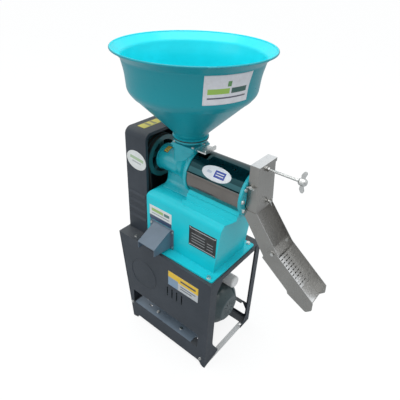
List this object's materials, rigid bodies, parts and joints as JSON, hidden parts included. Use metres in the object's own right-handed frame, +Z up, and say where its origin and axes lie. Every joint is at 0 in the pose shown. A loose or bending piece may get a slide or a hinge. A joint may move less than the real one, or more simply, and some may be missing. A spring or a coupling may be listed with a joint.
{
  "type": "rice huller",
  "caption": "Motor-driven rice huller: round feed funnel on a hulling chamber with screen, belt drive, bran outlet, hinged rice chute and a pressed-steel stand.",
  "frame": {"origin": "centre of the four anchor holes in the foot ties, on the floor", "axes": "+Z up, +X along the main shaft toward the rice chute, +Y away from the operator"},
  "size_m": [0.7727, 0.492, 1.145],
  "materials": {
    "teal_sheet": "glossy enamel on spun sheet",
    "teal_casting": "glossy enamel on cast iron and plate",
    "dark_teal": "enamel on cast iron",
    "charcoal_sheet": "satin powder coat",
    "slate_sheet": "satin paint",
    "motor_paint": "satin enamel",
    "stainless": "brushed",
    "mirror_stainless": "polished",
    "zinc": "bright zinc plate",
    "steel": "machined",
    "iron": "machined cast iron",
    "black_rubber": "matte",
    "pale_plastic": "matte",
    "dark_plastic": "matte"
  },
  "bodies": {
    "machine": {"front_panel": "charcoal_sheet", "back_panel": "charcoal_sheet", "top_rail_left": "charcoal_sheet", "top_rail_right": "charcoal_sheet", "motor_shelf": "slate_sheet", "foot_tie_left": "slate_sheet", "foot_tie_right": "slate_sheet", "stand_bolts": "zinc", "motor_frame": "motor_paint", "motor_foot_bolts": "zinc", "motor_stator": "iron", "motor_drive_shield": "motor_paint", "motor_fan_shield": "motor_paint", "motor_bearings": "steel", "fan_cowl": "motor_paint", "capacitor": "pale_plastic", "capacitor_saddle": "motor_paint", "terminal_box": "dark_plastic", "cable_gland": "dark_plastic", "drive_belts": "black_rubber", "belt_guard": "charcoal_sheet", "bran_housing": "teal_casting", "body_bolts": "zinc", "bran_slide": "stainless", "bran_chute": "slate_sheet", "bran_chute_bolts": "zinc", "head_casting": "teal_casting", "bearing_cap": "teal_casting", "head_screws": "zinc", "bearing_left": "steel", "bearing_right": "steel", "rice_screen": "stainless", "chamber_cover": "mirror_stainless", "chamber_side_plates": "stainless", "end_ring": "teal_casting", "ring_bolts": "zinc", "feed_throat": "teal_casting", "hopper": "teal_sheet", "hopper_gasket": "black_rubber", "hopper_wing_nuts": "zinc", "outlet_box": "stainless", "box_lid": "stainless", "box_wing_screws": "zinc", "upper_chute": "stainless", "chute_pivot_bolts": "zinc"},
    "main_rotor": {"driven_pulley": "dark_teal", "main_shaft": "steel", "shaft_nuts": "zinc", "feed_screw": "iron", "hulling_roller": "iron"},
    "motor_rotor_set": {"motor_shaft": "steel", "motor_rotor": "iron", "motor_fan": "dark_plastic", "motor_pulley": "iron"},
    "gate": {"feed_gate": "steel"},
    "pressure_set": {"pressure_plate": "stainless", "pressure_screw": "zinc"},
    "swing_chute": {"lower_chute": "stainless", "chute_screen": "stainless"}
  },
  "joints": [
    {"name": "main_shaft_spin", "type": "hinge", "parent": "machine", "child": "main_rotor", "pos_m": [-0.02875, 0, 0.748], "axis": [1, 0, 0], "continuous": true},
    {"name": "motor_spin", "type": "hinge", "parent": "machine", "child": "motor_rotor_set", "pos_m": [-0.02875, 0.023, 0.1805], "axis": [1, 0, 0], "continuous": true},
    {"name": "feed_gate_slide", "type": "slide", "parent": "machine", "child": "gate", "axis": [1, 0, 0], "range_m": [0, 0.06]},
    {"name": "pressure_slide", "type": "slide", "parent": "machine", "child": "pressure_set", "axis": [1, 0, 0], "range_m": [0, 0.012]},
    {"name": "lower_chute_hinge", "type": "hinge", "parent": "machine", "child": "swing_chute", "pos_m": [0.34425, 0, 0.6], "axis": [0, 1, 0], "range_deg": [-40, 25]}
  ],
  "couplings": [
    {"joint": "motor_spin", "follows": "main_shaft_spin", "ratio": 1.8974}
  ]
}
